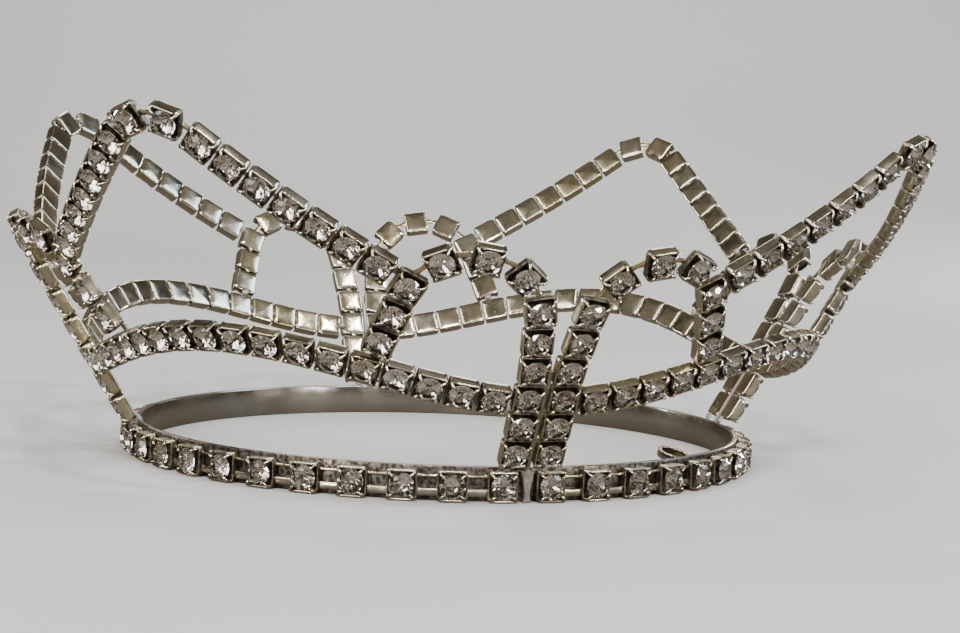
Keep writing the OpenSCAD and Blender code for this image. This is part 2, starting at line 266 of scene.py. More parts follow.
def mesh_from(name, points, loops, sizes, slots, tarnish_and_shade_values, tones, materials, smooth_below):
    """The stamped prints as one object. Edges sharper than smooth_below degrees stay sharp."""
    points, loops, sizes = np.concatenate(points), np.concatenate(loops), np.concatenate(sizes)
    mesh = bpy.data.meshes.new(name)
    mesh.vertices.add(len(points))
    mesh.vertices.foreach_set("co", points.astype(np.float32).reshape(-1))
    mesh.loops.add(len(loops))
    mesh.loops.foreach_set("vertex_index", loops.astype(np.int32))
    mesh.polygons.add(len(sizes))
    loop_starts = np.concatenate([[0], np.cumsum(sizes)[:-1]])
    mesh.polygons.foreach_set("loop_start", loop_starts.astype(np.int32))
    mesh.polygons.foreach_set("material_index", np.concatenate(slots).astype(np.int32))
    for label, values in (("nook", tarnish_and_shade_values), ("tone", tones)):
        layer = mesh.attributes.new(label, "FLOAT", "POINT")
        layer.data.foreach_set("value", np.concatenate(values).astype(np.float32))
    mesh.update(calc_edges=True)
    mesh.validate()
    if smooth_below is None:
        mesh.shade_flat()
    else:
        mesh.shade_smooth()
        mesh.set_sharp_from_angle(angle=math.radians(smooth_below))
    for material in materials:
        mesh.materials.append(material)
    piece = bpy.data.objects.new(name, mesh)
    bpy.context.scene.collection.objects.link(piece)
    return piece


def settle(piece, slot, *nodes):
    """Puts a piece on the root body and hides the parts that it stands for. Its finish, slot, is not
    used.
    """
    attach(piece, "root")
    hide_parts(*nodes)
    print(piece.name, "has", len(piece.data.polygons), "faces")


print("patterns are drawn in millimetres and stamped in metres")

# %% [markdown]
# ## Effects that several finishes share
#
# Plated metal is never one even colour. Tarnish stays in corners, painted shade darkens the
# recesses and dulls bright edges, each stamped piece takes the plating a little differently, and
# handling leaves fine scratches and dull smudges. Two node groups make these once. They give out
# only colours and masks, and every finish sets their strength with its own values.

# %% Node helpers
def new_group(name, inputs, outputs):
    group = bpy.data.node_groups.new(name, "ShaderNodeTree")
    for label, kind, value in inputs:
        socket = group.interface.new_socket(label, in_out="INPUT", socket_type=kind)
        socket.default_value = value
    for label, kind in outputs:
        group.interface.new_socket(label, in_out="OUTPUT", socket_type=kind)
    return group, group.nodes.new("NodeGroupInput"), group.nodes.new("NodeGroupOutput")


def add_node(tree, kind, settings=None, **inputs):
    """A node with some properties and inputs. An input is a value or another node's socket.

    Inputs go by name, with _ for a space, or by number, as in i0, where names repeat.
    """
    node = tree.nodes.new(kind)
    for label, value in (settings or {}).items():
        setattr(node, label, value)
    for label, value in inputs.items():
        numbered = label[0] == "i" and label[1:].isdigit()
        socket = node.inputs[int(label[1:]) if numbered else label.replace("_", " ")]
        if isinstance(value, bpy.types.NodeSocket):
            tree.links.new(value, socket)
        else:
            socket.default_value = value
    return node


def ramp(tree, value, *stops):
    """A colour ramp on a value: each stop is (position, grey level)."""
    node = add_node(tree, "ShaderNodeValToRGB", Fac=value)
    elements = node.color_ramp.elements
    while len(elements) < len(stops):
        elements.new(0.5)
    for element, (position, level) in zip(elements, stops):
        element.position = position
        element.color = (level, level, level, 1.0)
    return node.outputs["Color"]


def blend_colours(tree, share, first, second):
    node = add_node(tree, "ShaderNodeMix", {"data_type": "RGBA"}, i0=share, i6=first, i7=second)
    return node.outputs[2]


def arithmetic(tree, operation, first, second):
    return add_node(tree, "ShaderNodeMath", {"operation": operation}, i0=first, i1=second).outputs[0]


# %% [markdown]
# The dark colour, tarnish and painted shade together, follows each point's darkening value,
# broken up by fine noise so that its edge is ragged. The tone value differs from one stamped piece
# to the next.

# %% Plating colour, as a group
def make_plating_group():
    """Colour of plated metal: clean metal, a warmer cast that drifts over it, and a dark colour where a
    point is darkened, partly tarnish and partly painted shade.
    """
    group, given, out = new_group(
        "plating colour",
        [
            ("Clean", "NodeSocketColor", (0.8, 0.8, 0.8, 1)),
            ("Warm", "NodeSocketColor", (0.8, 0.7, 0.5, 1)),
            ("Tarnish", "NodeSocketColor", (0.1, 0.08, 0.06, 1)),
            ("Tarnish Strength", "NodeSocketFloat", 0.7),
        ],
        [("Color", "NodeSocketColor"), ("Dirt", "NodeSocketFloat")],
    )
    where = add_node(group, "ShaderNodeTexCoord").outputs["Object"]
    nook = add_node(group, "ShaderNodeAttribute", {"attribute_name": "nook"}).outputs["Fac"]
    tone = add_node(group, "ShaderNodeAttribute", {"attribute_name": "tone"}).outputs["Fac"]
    drift = add_node(group, "ShaderNodeTexNoise", Vector=where, Scale=42.0, Detail=3.0).outputs["Fac"]
    fleck = add_node(group, "ShaderNodeTexNoise", Vector=where, Scale=1500.0, Detail=4.0).outputs["Fac"]
    piece_cast = arithmetic(group, "MULTIPLY", tone, 0.45)
    cast = arithmetic(group, "ADD", piece_cast, ramp(group, drift, (0.38, 0.0), (0.62, 0.6)))
    plated = blend_colours(group, cast, given.outputs["Clean"], given.outputs["Warm"])
    # Tarnish and painted shade: the dark colour is mixed in by each point's darkening value.
    ragged = arithmetic(group, "MULTIPLY", nook, ramp(group, fleck, (0.3, 0.55), (0.6, 1.0)))
    tarnish_and_shade_mask = arithmetic(group, "MULTIPLY", ragged, given.outputs["Tarnish Strength"])
    colour = blend_colours(group, tarnish_and_shade_mask, plated, given.outputs["Tarnish"])
    group.links.new(colour, out.inputs["Color"])
    group.links.new(tarnish_and_shade_mask, out.inputs["Dirt"])
    return group


plating_colour = make_plating_group()
print("group", plating_colour.name)


# %% [markdown]
# Wear changes only how a surface scatters light: wide soft smudges, a fine grain that can be
# stretched along the strip, and tiny pits. Where tarnish and painted shade darken a surface, it is
# made rougher as well.

# %% Handling wear, as a group
def make_wear_group():
    """Roughness and height of handled metal: smudges, fine scratches and small pits."""
    group, given, out = new_group(
        "handling wear",
        [
            ("Roughness", "NodeSocketFloat", 0.2),
            ("Smudge", "NodeSocketFloat", 0.1),
            ("Dirt", "NodeSocketFloat", 0.0),
            ("Grain Stretch", "NodeSocketVector", (1.0, 1.0, 1.0)),
        ],
        [("Roughness", "NodeSocketFloat"), ("Height", "NodeSocketFloat")],
    )
    where = add_node(group, "ShaderNodeTexCoord").outputs["Object"]
    noise, by_each = "ShaderNodeTexNoise", {"operation": "MULTIPLY"}
    smudge = add_node(group, noise, Vector=where, Scale=230.0, Detail=4.0, Roughness=0.6).outputs["Fac"]
    stretch = given.outputs["Grain Stretch"]
    stretched = add_node(group, "ShaderNodeVectorMath", by_each, i0=where, i1=stretch).outputs[0]
    grain = add_node(group, noise, Vector=stretched, Scale=2600.0, Detail=2.0).outputs["Fac"]
    pits = add_node(group, "ShaderNodeTexVoronoi", Vector=where, Scale=900.0).outputs["Distance"]
    pitted = ramp(group, pits, (0.05, 0.0), (0.16, 1.0))
    smudged = ramp(group, smudge, (0.42, 0.0), (0.68, 1.0))
    spread = arithmetic(group, "MULTIPLY", smudged, given.outputs["Smudge"])
    rough = arithmetic(group, "ADD", given.outputs["Roughness"], spread)
    # The mask of tarnish and painted shade also raises the roughness.
    rough = arithmetic(group, "ADD", rough, arithmetic(group, "MULTIPLY", given.outputs["Dirt"], 0.3))
    grained = arithmetic(group, "MULTIPLY", grain, 0.35)
    pocked = arithmetic(group, "MULTIPLY", pitted, 0.4)
    height = arithmetic(group, "ADD", arithmetic(group, "ADD", grained, pocked), smudge)
    group.links.new(rough, out.inputs["Roughness"])
    group.links.new(height, out.inputs["Height"])
    return group


handling_wear = make_wear_group()
print("group", handling_wear.name)

# %% [markdown]
# ## Plated metals
#
# The band, the cups, the links and the solder differ in colour and polish but wear in the same
# way, so one function builds each finish from the two groups. The metal value is the same all
# over a finish, so it is set on the shader itself.

# %% Metal finishes
RELIEF_DEPTH = 0.00008


def empty_material(name):
    material = bpy.data.materials.new(name)
    material.use_nodes = True
    material.node_tree.nodes.clear()
    return material, material.node_tree


def finish_with(tree, shader):
    surface = tree.nodes.new("ShaderNodeOutputMaterial")
    tree.links.new(shader.outputs[0], surface.inputs["Surface"])


def metal_finish(name, clean, warm, strength, roughness, smudge, bump, stretch=(1, 1, 1)):
    """A plated metal. strength: of its tarnish and painted shade, bump: of its relief, stretch: of its
    grain.
    """
    material, tree = empty_material(name)
    plating = add_node(
        tree, "ShaderNodeGroup", {"node_tree": plating_colour},
        Clean=clean, Warm=warm, Tarnish=TARNISH_AND_SHADE_COLOUR, Tarnish_Strength=strength,
    )
    wear = add_node(
        tree, "ShaderNodeGroup", {"node_tree": handling_wear},
        Roughness=roughness, Smudge=smudge, Dirt=plating.outputs["Dirt"], Grain_Stretch=stretch,
    )
    height = wear.outputs["Height"]
    relief = add_node(tree, "ShaderNodeBump", Strength=bump, Distance=RELIEF_DEPTH, Height=height)
    finish_with(tree, add_node(
        tree, "ShaderNodeBsdfPrincipled", Base_Color=plating.outputs["Color"], Metallic=1.0,
        Roughness=wear.outputs["Roughness"], Normal=relief.outputs["Normal"],
    ))
    return material


# The dark colour of tarnish, and of painted shade in recesses, on end walls and on dulled edges.
TARNISH_AND_SHADE_COLOUR = (0.035, 0.026, 0.020, 1)
cup_metal = metal_finish(
    "cup metal", clean=(0.58, 0.555, 0.475, 1), warm=(0.53, 0.455, 0.30, 1),
    strength=0.9, roughness=0.13, smudge=0.14, bump=0.30,
)
link_metal = metal_finish(
    "link metal", clean=(0.68, 0.60, 0.45, 1), warm=(0.70, 0.52, 0.27, 1),
    strength=0.6, roughness=0.14, smudge=0.12, bump=0.35,
)
band_metal = metal_finish(
    "band metal", clean=(0.43, 0.415, 0.37, 1), warm=(0.37, 0.32, 0.24, 1),
    strength=1.0, roughness=0.12, smudge=0.12, bump=0.10, stretch=(1, 1, 9),
)
solder_metal = metal_finish(
    "solder metal", clean=(0.42, 0.40, 0.36, 1), warm=(0.34, 0.31, 0.26, 1),
    strength=0.8, roughness=0.48, smudge=0.22, bump=0.9,
)
print("metals:", cup_metal.name, link_metal.name, band_metal.name, solder_metal.name)

# %% [markdown]
# ## Crystal and foil
#
# A rhinestone is a clear glass cone with a silver foil on its pointed side. Light goes in through
# the crown, bounces between the mirrored facets and comes out again, which is why a small stone
# flashes. So the crown's facets get glass and the pavilion's facets get a mirror, on one mesh,
# and the renderer does what light does. Old foil is a little yellow and stained.

# %% Glass crown and foil back
GLASS_INDEX = 1.56


def crystal_finish():
    """Clear glass, hazy in places and a trace warmer where it is clear."""
    material, tree = empty_material("crystal")
    where = add_node(tree, "ShaderNodeTexCoord").outputs["Object"]
    haze = add_node(tree, "ShaderNodeTexNoise", Vector=where, Scale=700.0, Detail=3.0).outputs["Fac"]
    rough = ramp(tree, haze, (0.45, 0.0), (0.75, 0.035))
    dulled = ramp(tree, haze, (0.35, 0.0), (0.7, 1.0))
    tint = blend_colours(tree, dulled, (1.0, 0.985, 0.97, 1), (0.93, 0.93, 0.92, 1))
    finish_with(tree, add_node(
        tree, "ShaderNodeBsdfPrincipled",
        Base_Color=tint, Roughness=rough, IOR=GLASS_INDEX, Transmission_Weight=1.0,
    ))
    return material


def foil_finish():
    """Silver foil, a little different on each stone, with brown stains where it has lifted."""
    material, tree = empty_material("foil")
    where = add_node(tree, "ShaderNodeTexCoord").outputs["Object"]
    tone = add_node(tree, "ShaderNodeAttribute", {"attribute_name": "tone"}).outputs["Fac"]
    stain = add_node(
        tree, "ShaderNodeTexNoise", Vector=where, Scale=650.0, Detail=5.0, Roughness=0.65
    ).outputs["Fac"]
    silver = blend_colours(tree, tone, (0.93, 0.93, 0.92, 1), (0.84, 0.80, 0.75, 1))
    stained = ramp(tree, stain, (0.53, 0.0), (0.66, 0.85))
    colour = blend_colours(tree, stained, silver, (0.22, 0.14, 0.12, 1))
    shader = add_node(tree, "ShaderNodeBsdfPrincipled", Base_Color=colour, Metallic=1.0, Roughness=0.05)
    finish_with(tree, shader)
    return material


crystal, foil = crystal_finish(), foil_finish()
print("stone finishes:", crystal.name, foil.name)

# %% [markdown]
# ## A stamped cup
#
# A cup is stamped from sheet and folded up: a back that swells a little, two high side walls along
# the chain and two low end walls where the links pass. The side walls' front corners are cut
# round, so a wall's height falls away near each end.

# %% Rounded square and wall height
CORNER = 0.58  # radius of a cup's upright corners
SHEET = 0.32  # thickness of its walls
SIDE_STOPS = (-0.92, -0.78, -0.62, -0.3, 0.3, 0.62, 0.78, 0.92)  # points of a side, as shares
WALL_SHOULDER = 0.62 * HALF  # where the rim starts to fall
WALL_FOOT = 0.97 * HALF  # where it has fallen to the end wall
RIM_ROUNDNESS = 2.2


def rounded_square(half, corner, steps=4):
    """Points round a square with rounded corners, counter-clockwise, closer near the corners."""
    points = []
    flat = half - corner
    for turn in range(4):
        side = [(half, s * flat) for s in SIDE_STOPS]
        arc = [
            (flat + corner * math.cos(a), flat + corner * math.sin(a))
            for a in (math.pi / 2 * i / steps for i in range(steps + 1))
        ]
        for x, y in side + arc:
            for _ in range(turn):
                x, y = -y, x
            points.append((x, y))
    return points


def rim_height(y):
    """Height of a cup's wall: full along the side walls, falling in a quarter curve to the ends."""
    fall = min(1.0, max(0.0, (abs(y) - WALL_SHOULDER) / (WALL_FOOT - WALL_SHOULDER)))
    return END_WALL + (SIDE_WALL - END_WALL) * math.sqrt(1 - fall**RIM_ROUNDNESS)


print("a wall's height, middle and ends:", round(rim_height(0), 2), round(rim_height(HALF), 2), "mm")

# %% [markdown]
# The skin of a cup is a stack of rounded squares: out over the swollen back, up the outside, over
# the rim and down the inside to the floor. The end walls are painted dark, as painted shade for the
# dark gap between two cups under the stones, and painted shade also dulls the bright edges of the
# rims and backs and fills the inside. The prongs are swept along a bent path.


# %% Cup pattern
def cup_body(pattern):
    """Adds a cup's skin. Each ring of points is given with its darkening for tarnish and painted shade,
    as one value or one for each point.
    """
    outer = rounded_square(HALF, CORNER)
    count = len(outer)

    def ring(inset, height):
        """A level ring, drawn in from the outside by inset."""
        square = rounded_square(HALF - inset, max(0.12, CORNER - inset * 0.6))
        return [(x, y, height) for x, y in square]

    def rim(inset, height):
        """The same, at a height from the rim."""
        return [(x, y, rim_height(oy) + height) for (x, y, _), (_, oy) in zip(ring(inset, 0), outer)]

    def pillow(share, height):
        """A ring on the back, as a share of its width, with ends that keep fuller than its sides."""
        lengthways = share + 0.6 * (1 - share) * share**3
        return [(x * share, y * lengthways, height) for x, y in outer]

    def shaded(side, end):
        """Darkening of a ring, for tarnish and painted shade: one value for the side walls and one for
        the end walls, which are painted as in shade.
        """
        return [end if rim_height(y) < SIDE_WALL - 0.2 else side for _, y in outer]

    # The back's outer rings get some painted shade, to dull the bright edges of the tiles.
    back = [
        (pillow(share, height), nook)
        for share, height, nook in (
            (0.06, 0.0, 0.0), (0.30, 0.007, 0.0), (0.52, 0.026, 0.0), (0.70, 0.058, 0.0),
            (0.84, 0.10, 0.0), (0.93, 0.16, 0.15), (0.985, 0.25, shaded(0.1, 0.5)),
        )
    ]
    # The low end walls are painted fully dark as shade, and the rim darker towards its inside, a painted
    # shade that dulls its bright edge.
    outside = [(ring(0.0, 0.34), shaded(0.1, 0.9)), (ring(0.0, 0.6 * END_WALL), shaded(0.3, 1.0))]
    over_rim = [
        (rim(0.0, -0.12), shaded(0.0, 1.0)), (rim(0.03, -0.04), shaded(0.0, 1.0)),
        (rim(0.09, 0.0), shaded(0.15, 1.0)), (rim(SHEET - 0.09, 0.0), shaded(0.4, 1.0)),
        (rim(SHEET - 0.02, -0.04), shaded(0.6, 1.0)), (rim(SHEET, -0.13), shaded(0.8, 1.0)),
    ]
    # Inside the cup, under the stone, the metal is painted fully dark: painted shade with tarnish.
    inside = [
        (ring(SHEET, FLOOR + 0.25), 1.0), (ring(SHEET + 0.08, FLOOR + 0.06), 1.0),
        (ring(SHEET + 0.3, FLOOR), 1.0),
    ]
    rings = back + outside + over_rim + inside
    points = [p for loop, _ in rings for p in loop]
    tarnish_and_shade_values = [n for _, nook in rings for n in (nook if isinstance(nook, list) else [nook] * count)]
    pattern.add(points, ring_faces(len(rings), count, True, True), nook=tarnish_and_shade_values)


def prong(pattern, turn):
    """Adds a finger that rises from a cup's corner and is pressed over the stone, with a ball tip."""
    corner = 0.873 * HALF * math.sqrt(2)
    # The finger's path from its foot to its tip: distance from the cup's axis, height, radius.
    path = [
        (corner, 0.62 * END_WALL, 0.18),
        (corner, 0.95 * END_WALL, 0.22),
        (corner - 0.02, END_WALL + 0.55, 0.225),
        (corner - 0.10, SIDE_WALL + 0.04, 0.215),
        (corner - 0.32, SIDE_WALL + 0.30, 0.215),
        (corner - 0.58, SIDE_WALL + 0.40, 0.235),
        (corner - 0.78, SIDE_WALL + 0.40, 0.25),
        (corner - 0.92, SIDE_WALL + 0.38, 0.20),
        (corner - 1.00, SIDE_WALL + 0.36, 0.09),
    ]
    around = 10
    points = []
    for i, (reach, height, radius) in enumerate(path):
        before, after = path[max(0, i - 1)], path[min(len(path) - 1, i + 1)]
        slope = math.atan2(after[1] - before[1], after[0] - before[0])
        for k in range(around):
            a = 2 * math.pi * k / around
            sideways, lift = radius * math.cos(a), radius * math.sin(a)
            r, z = reach - lift * math.sin(slope), height + lift * math.cos(slope)
            points.append((r, sideways, z))
    angle = math.radians(45 + 90 * turn)
    c, s = math.cos(angle), math.sin(angle)
    points = [(x * c - y * s, x * s + y * c, z) for x, y, z in points]
    faces = [tuple(reversed(f)) for f in ring_faces(len(path), around, True, True)]
    # A prong is painted darker towards its foot: tarnish and painted shade where it meets the cup.
    tarnish_and_shade_values = [max(0.0, 0.8 - 0.4 * (i // around)) for i in range(len(points))]
    pattern.add(points, faces, nook=tarnish_and_shade_values)


cup_pattern = Pattern()
cup_body(cup_pattern)
for turn in range(4):
    prong(cup_pattern, turn)
print("cup pattern:", len(cup_pattern.faces), "faces")

# %% [markdown]
# ## A cut stone
#
# A round brilliant has eight kite facets round its table, small star facets between them and
# sixteen narrow facets down to the girdle. The pointed back is cut the same way with eight long
# mains. Where a star point lies is not free: the kites on both sides of it must stay flat, so its
# height is read from the plane of a kite.

# %% Stone pattern
def on_kite(radius, edge, rise):
    """Height above the girdle of a point halfway between two kites.

    edge and rise are the radius and the height above the girdle at a kite's far end.
    """
    return rise * (STONE_RADIUS - radius * math.cos(math.pi / 8)) / (STONE_RADIUS - edge)


def circle(radius, height, count, first=0.0):
    angles = [2 * math.pi * (k + first) / count for k in range(count)]
    return [(radius * math.cos(a), radius * math.sin(a), height) for a in angles]


def stone_facets(pattern):
    star = 0.5 * (TABLE_RADIUS + STONE_RADIUS) * 1.01
    heel = 0.24 * STONE_RADIUS
    top = circle(TABLE_RADIUS, TABLE, 8)
    stars = circle(star, GIRDLE_HIGH + on_kite(star, TABLE_RADIUS, TABLE - GIRDLE_HIGH), 8, 0.5)
    upper = circle(STONE_RADIUS, GIRDLE_HIGH, 16)
    lower = circle(STONE_RADIUS, GIRDLE_LOW, 16)
    mains = circle(heel, GIRDLE_LOW - on_kite(heel, 0.0, GIRDLE_LOW - CULET), 8, 0.5)
    points = top + stars + upper + lower + mains + [(0, 0, CULET)]
    # Where each circle of points starts in the list.
    T, S, U, L, M, tip = 0, 8, 16, 32, 48, 56
    clear, mirror = [tuple(range(8))], []
    for k in range(8):
        back, on = (k - 1) % 8, (k + 1) % 8
        edge, half, far = 2 * k, 2 * k + 1, (2 * k + 2) % 16
        clear += [(T + k, S + back, U + edge, S + k), (T + k, S + k, T + on)]
        clear += [(S + k, U + edge, U + half), (S + k, U + half, U + far)]
        clear += [(U + edge, L + edge, L + half, U + half), (U + half, L + half, L + far, U + far)]
        mirror += [(tip, M + k, L + edge, M + back)]
        mirror += [(M + k, L + half, L + edge), (M + k, L + far, L + half)]
    pattern.add(points, clear + mirror)
    pattern.materials = [0] * len(clear) + [1] * len(mirror)


stone_pattern = Pattern()
stone_facets(stone_pattern)
print("stone pattern:", len(stone_pattern.faces), "facets")

# %% [markdown]
# ## Setting the chains
#
# Each arm of the crown is one strip of cup chain. Every cup is stamped where its solid is, and
# every stone in its cup. By hand no two stones sit alike: each is turned by a random angle and
# tilted a degree or two, so that neighbouring stones flash at different moments.

# %% Cups and stones of every chain
def turned(place, spin, tip, toward):
    """A place with the piece spun about its own axis and tipped a little to one side."""
    axis = Vector((math.cos(toward), math.sin(toward), 0))
    turn = Matrix.Rotation(tip, 4, axis) @ Matrix.Rotation(spin, 4, "Z")
    return place @ np.array(turn)


TIP = math.radians(2.2)
chains = sorted(n[: -len("_cups")] for n in frame["nodes"] if n.endswith("_cups"))
cup_places = {}
for chain in chains:
    places = [cup_place(solid) for solid in solids_of(chain + "_cups")]
    cup_places[chain] = places
    draw = np.random.default_rng(sum(map(ord, chain)))
    set_stones = []
    for place in places:
        spin, tip, toward = draw.random(3) * (math.pi / 4, TIP, 2 * math.pi)
        set_stones.append(turned(place, spin, tip, toward))
    cups = stamp(chain + "_cups_stamped", [(cup_pattern, places)], [cup_metal], smooth_below=38)
    settle(cups, "cup_metal", chain + "_cups")
    stones = stamp(chain + "_stones_cut", [(stone_pattern, set_stones)], [crystal, foil])
    settle(stones, "rhinestone", chain + "_stones")

# %% [markdown]
# ## Links
#
# Neighbouring cups hang together by small bars pushed through their end walls. In the close
# chains a bar is a short neck, pinched in its middle. A link's own solid gives its place and its
# length, width and thickness, and the nearest cup tells which of these is which.

# %% Link pattern and places
all_places = np.array([place for places in cup_places.values() for place in places])


def bar_place(solid):
    """Place of a link, with its width, length and thickness in millimetres."""
    corners = np.unique(solid.reshape(-1, 3), axis=0)
    middle = corners.mean(axis=0)
    cup = all_places[np.argmin(np.linalg.norm(all_places[:, :3, 3] - middle, axis=1))]
    normals = np.cross(solid[:, 1] - solid[:, 0], solid[:, 2] - solid[:, 0])
    normals /= np.linalg.norm(normals, axis=1)[:, None]
    axes = []
    for k in (1, 2):
        facing = normals @ cup[:3, k]
        axes.append(normals[np.argmax(facing)])
    along, outward = axes
    place = np.eye(4)
    place[:3, 0] = np.cross(along, outward)
    place[:3, 1] = along
    place[:3, 2] = outward
    place[:3, 3] = middle
    spread = in_own_axes(corners, place)
    return place, spread.max(axis=0) - spread.min(axis=0)


SQUARENESS = 0.55


def squared(wave):
    """A sine or cosine pushed outward, so that a circle turns into a rounded rectangle."""
    return math.copysign(abs(wave) ** SQUARENESS, wave)


def bar_pattern(size, pinch):
    """A rounded bar, narrower in its middle by the share pinch."""
    pattern = Pattern()
    width, length, thickness = size
    rings, around = 9, 12
    points, tarnish_and_shade_values = [], []
    for i in range(rings):
        t = 2 * i / (rings - 1) - 1
        # A bar is painted darker towards its ends, where it goes into the cups: tarnish and painted
        # shade.
        tarnish_and_shade_values += [0.25 + 0.5 * t**4] * around
        waist = 1 - pinch * (1 - t * t)
        depth = 1 - 0.4 * pinch * (1 - t * t)
        for k in range(around):
            a = 2 * math.pi * k / around
            x = squared(math.cos(a)) * width / 2 * waist
            z = squared(math.sin(a)) * thickness / 2 * depth
            points.append((x, t * length / 2, z))
    faces = [tuple(reversed(f)) for f in ring_faces(rings, around, True, True)]
    pattern.add(points, faces, nook=tarnish_and_shade_values)
    return pattern


for node in ("motif_loop_links", "mid_ring_links", "peak_links", "base_chain_links"):
    prints = []
    for solid in solids_of(node):
        place, size = bar_place(solid)
        wide = size[0] > 1.1
        bar = bar_pattern(size, 0.08 if wide else 0.34)
        bar.materials = [1 if wide else 0] * len(bar.faces)
        prints.append((bar, [place]))
    links = stamp(node + "_drawn", prints, [link_metal, cup_metal], smooth_below=40)
    settle(links, "link_metal", node)

# %% [markdown]
# ## The band
#
# The band is one strip of flat wire bent round and joined. Its edges are rolled, not sharp, so
# its section is a rectangle with rounded corners, turned round the crown's axis.

# %% Band
def rolled_section(inner, outer, low, high, edge):
    """A strip's section between two radii and two heights, its corners rounded to edge."""
    section = []
    for cx, cz, first in (
        (outer - edge, low + edge, -90), (outer - edge, high - edge, 0),
        (inner + edge, high - edge, 90), (inner + edge, low + edge, 180),
    ):
        for i in range(5):
            a = math.radians(first + 22.5 * i)
            section.append((cx + edge * math.cos(a), cz + edge * math.sin(a)))
    return section


def turned_section(section, steps):
    """Turns a closed section of (radius, height) points round its own axis."""
    pattern = Pattern()
    points = []
    for i in range(steps):
        a = 2 * math.pi * i / steps
        points.extend((r * math.cos(a), r * math.sin(a), z) for r, z in section)
    count = len(section)
    faces = []
    for i in range(steps):
        here, there = i * count, (i + 1) % steps * count
        for k in range(count):
            on = (k + 1) % count
            faces.append((here + k, there + k, there + on, here + on))
    pattern.add(points, faces)
    return pattern


band_points = np.concatenate([s.reshape(-1, 3) for s in solids_of("base_band")]) / MM
band_reach = np.hypot(band_points[:, 0], band_points[:, 1])
BAND_OUT, BAND_IN = float(band_reach.max()), float(band_reach.min())
BAND_TOP = float(band_points[:, 2].max())

# The outer face lies behind the base chain, in its shade, so it is painted fully dark: painted shade,
# with tarnish.
band_pattern = turned_section(rolled_section(BAND_IN, BAND_OUT, 0.0, BAND_TOP, edge=0.24), 360)
band_pattern.tarnish_and_shade_values = [
    1.0 if math.hypot(x, y) > BAND_OUT - 0.02 else 0.1 for x, y, _ in band_pattern.points
]
band = stamp("base_band_rolled", [(band_pattern, [np.eye(4)])], [band_metal], smooth_below=30)
settle(band, "polished_band", "base_band")

# %% [markdown]
# ## Hairpin rings
#
# Two little rings of flat strip are soldered inside the band, so that hairpins can hold the
# crown. The record gives each ring's bore as a place, a direction and a radius.

# %% Hairpin rings
for mount in frame["record"]["mounts"]:
    if mount["kind"] != "bore":
        continue
    node = mount["name"]
    dims = mount["dims"]
    axis = Vector(mount["axis"]).normalized()
    turn = axis.to_track_quat("Z", "Y").to_matrix().to_4x4()
    place = np.array(Matrix.Translation(mount["pos_m"]) @ turn)
    spread = in_own_axes(np.concatenate(solids_of(node)), place)
    outer = float(np.hypot(spread[:, 0], spread[:, 1]).max())
    half_length = dims["length_mm"] / 2
    section = rolled_section(dims["r_mm"], outer, -half_length, half_length, edge=0.16)
    pattern = turned_section(section, 72)
    ring = stamp(node + "_bent", [(pattern, [place])], [band_metal], smooth_below=30)
    settle(ring, "polished_band", node)

# %% [markdown]
# ## Solder
#
# Solder was fed in while hot, so it has no edges: it lies in the seam between two strands and in
# blobs over the joints. Each solder part is skinned again with small even faces, smoothed until
# its edges flow, and then pushed in and out a little by noise. A seam's foot on the band is also
# drawn in at its middle.

# %% Solder seams, feet and beads
FOOT_TOP = BAND_TOP - 0.5
WAIST = 0.62  # how much of a foot's width is drawn in at its narrowest
# A seam's foot, low between the base cups, is painted dark: painted shade with tarnish; a seam only a
# little.
FOOT_TARNISH_AND_SHADE, SEAM_TARNISH_AND_SHADE = 0.75, 0.1


def draw_in_foot(mesh):
    """Narrows a foot's middle, so that its sides curve in as solder does between two cups."""
    points = np.empty(len(mesh.vertices) * 3, dtype=np.float32)
    mesh.vertices.foreach_get("co", points)
    points = points.reshape(-1, 3)
    outward = points[:, :2].mean(axis=0)
    sideways = np.array((-outward[1], outward[0])) / np.linalg.norm(outward)
    place = points[:, :2] @ sideways
    rise = np.clip(points[:, 2] / FOOT_TOP, 0.0, 1.0)
    drawn_in = WAIST * np.abs(np.sin(math.pi * np.sqrt(rise))) ** 0.8
    share = np.where(points[:, 2] < FOOT_TOP, 1 - drawn_in, 1.0)
    points[:, :2] += np.outer(place * (share - 1), sideways)
    mesh.vertices.foreach_set("co", points.reshape(-1))


def flowed(node, voxel=0.11, rounds=5, lumps=0.05):
    """A solder part as it flowed: remeshed in millimetres, smoothed and made uneven."""
    source = frame["nodes"][node].data.copy()
    source.transform(Matrix.Scale(1 / MM, 4))
    piece = bpy.data.objects.new(node + "_flowed", source)
    bpy.context.scene.collection.objects.link(piece)
    remesh = piece.modifiers.new("skin", "REMESH")
    remesh.mode = "VOXEL"
    remesh.voxel_size = voxel
    smooth = piece.modifiers.new("flow", "SMOOTH")
    smooth.iterations = rounds
    lump = bpy.data.textures.new(node + " lumps", "CLOUDS")
    lump.noise_scale = 0.9
    uneven = piece.modifiers.new("lumps", "DISPLACE")
    uneven.texture = lump
    uneven.strength = lumps * 2
    uneven.texture_coords = "LOCAL"
    bpy.context.view_layer.update()
    shaped = bpy.data.meshes.new_from_object(piece.evaluated_get(bpy.context.evaluated_depsgraph_get()))
    if node.endswith("_spine"):
        draw_in_foot(shaped)
    shaped.transform(Matrix.Scale(MM, 4))
    shaped.materials.clear()
    shaped.materials.append(solder_metal)
    shaped.shade_smooth()
    shaped.attributes.new("tone", "FLOAT", "POINT")
    # Painted shade with tarnish: the feet are painted darker than the seams.
    tarnish_and_shade_values = [FOOT_TARNISH_AND_SHADE if v.co.z < FOOT_TOP * MM else SEAM_TARNISH_AND_SHADE for v in shaped.vertices]
    shaped.attributes.new("nook", "FLOAT", "POINT").data.foreach_set("value", tarnish_and_shade_values)
    piece.modifiers.clear()
    piece.data = shaped
    return piece


